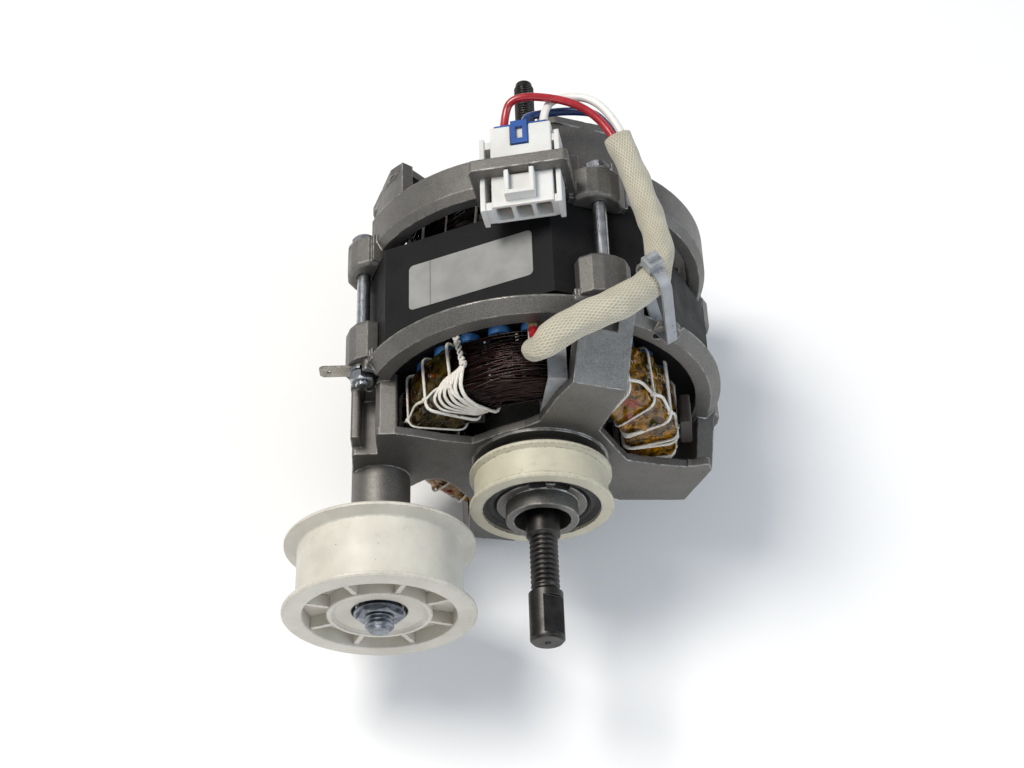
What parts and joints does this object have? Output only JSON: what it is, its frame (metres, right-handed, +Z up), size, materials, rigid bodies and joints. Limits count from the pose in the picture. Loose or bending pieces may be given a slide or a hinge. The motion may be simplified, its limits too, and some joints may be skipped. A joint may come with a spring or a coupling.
{
  "type": "induction motor",
  "caption": "Open-frame tumble-dryer induction motor with cast brackets, laced windings, grooved drive shaft, rubber-mounted end rings, idler pulley and sleeved leads to a connector.",
  "frame": {"origin": "centre of the front mount ring, on the shaft axis", "axes": "+Y along the shaft from the grooved working end towards the threaded rear end, +Z up to the connector side, +X to the right seen from the working end"},
  "size_m": [0.1582, 0.2445, 0.1519],
  "materials": {
    "stack_black": "matte black coating over pressed laminations",
    "slot_liner_blue": "blue insulating film folded into cuffs",
    "slot_wedge_tan": "hard fibre strip",
    "enamelled_wire": "dark red-brown wire enamel under varnish",
    "lacing_white": "waxed lacing cord",
    "phase_sheet": "light grey fibre insulation sheet",
    "amber_film": "crumpled glossy amber film",
    "protector_shell": "dark wrapped thermal cut-out",
    "label_grey": "bare printed-grey foil label",
    "shaft_steel": "ground steel, dulled",
    "rotor_steel": "turned laminations",
    "rotor_aluminium": "as die cast",
    "bearing_steel": "ground bearing steel",
    "bearing_cage": "pressed strip",
    "bearing_seal": "black seal face",
    "spring_steel": "blued spring strip",
    "cast_aluminium": "sand-like cast skin with worn edges",
    "zinc_plate": "zinc plated, slightly yellowed",
    "ring_cream": "cream, scuffed at its edges",
    "mount_rubber": "black moulded rubber",
    "pulley_white": "off-white, scuffed",
    "connector_white": "milky white moulding",
    "terminal_brass": "tinned brass",
    "retainer_blue": "blue moulding",
    "sleeve_cream": "woven cream sleeving",
    "lead_red": "glossy red insulation",
    "lead_blue": "glossy blue insulation",
    "lead_white": "glossy white insulation",
    "splice_sleeve": "shrunk splice sleeve",
    "clear_nylon": "translucent nylon"
  },
  "bodies": {
    "motor_frame": {"stator_stack": "stack_black", "slot_liners": "slot_liner_blue", "slot_wedges": "slot_wedge_tan", "main_winding": "enamelled_wire", "aux_winding": "enamelled_wire", "front_lacing": "lacing_white", "rear_lacing": "lacing_white", "phase_insulation": "phase_sheet", "end_film": "amber_film", "thermal_protector": "protector_shell", "stator_label": "label_grey", "wave_spring": "spring_steel", "front_bracket": "cast_aluminium", "rear_bracket": "cast_aluminium", "through_bolts": "zinc_plate", "bolt_nuts": "zinc_plate", "earth_tab": "zinc_plate", "earth_washer": "zinc_plate", "front_mount_ring": "ring_cream", "front_mount_bush": "mount_rubber", "rear_mount_ring": "ring_cream", "rear_mount_bush": "mount_rubber", "idler_spacer": "zinc_plate", "idler_stud": "zinc_plate", "idler_nut": "zinc_plate", "connector_housing": "connector_white", "connector_terminals": "terminal_brass", "lead_sleeve": "sleeve_cream", "lead_red": "lead_red", "lead_blue": "lead_blue", "lead_white": "lead_white", "lead_splices": "splice_sleeve", "exit_collar": "clear_nylon", "cable_tie": "clear_nylon", "front_bearing_outer": "bearing_steel", "front_bearing_seals": "bearing_seal", "rear_bearing_outer": "bearing_steel", "rear_bearing_seals": "bearing_seal", "idler_bearing_inner": "bearing_steel"},
    "rotor": {"shaft": "shaft_steel", "rotor_core": "rotor_steel", "rotor_cage": "rotor_aluminium", "front_bearing_inner": "bearing_steel", "rear_bearing_inner": "bearing_steel"},
    "front_balls": {"front_bearing_balls": "bearing_steel", "front_bearing_cage": "bearing_cage"},
    "rear_balls": {"rear_bearing_balls": "bearing_steel", "rear_bearing_cage": "bearing_cage"},
    "idler": {"idler_pulley": "pulley_white", "idler_bearing_outer": "bearing_steel", "idler_bearing_seals": "bearing_seal"},
    "idler_balls": {"idler_bearing_balls": "bearing_steel", "idler_bearing_cage": "bearing_cage"},
    "retainer": {"connector_retainer": "retainer_blue"}
  },
  "joints": [
    {"name": "rotor_spin", "type": "hinge", "parent": "motor_frame", "child": "rotor", "pos_m": [0, 0, 0], "axis": [0, 1, 0], "continuous": true},
    {"name": "front_balls_roll", "type": "hinge", "parent": "motor_frame", "child": "front_balls", "pos_m": [0, 0, 0], "axis": [0, 1, 0], "continuous": true},
    {"name": "rear_balls_roll", "type": "hinge", "parent": "motor_frame", "child": "rear_balls", "pos_m": [0, 0, 0], "axis": [0, 1, 0], "continuous": true},
    {"name": "idler_spin", "type": "hinge", "parent": "motor_frame", "child": "idler", "pos_m": [-0.0568, 0, -0.0095], "axis": [0, 1, 0], "continuous": true},
    {"name": "idler_balls_roll", "type": "hinge", "parent": "motor_frame", "child": "idler_balls", "pos_m": [-0.0568, 0, -0.0095], "axis": [0, 1, 0], "continuous": true},
    {"name": "retainer_slide", "type": "slide", "parent": "motor_frame", "child": "retainer", "axis": [0, 1, 0], "range_m": [0, 0.002]}
  ],
  "couplings": [
    {"joint": "front_balls_roll", "follows": "rotor_spin", "ratio": 0.3773},
    {"joint": "rear_balls_roll", "follows": "rotor_spin", "ratio": 0.3773},
    {"joint": "idler_balls_roll", "follows": "idler_spin", "ratio": 0.615}
  ]
}
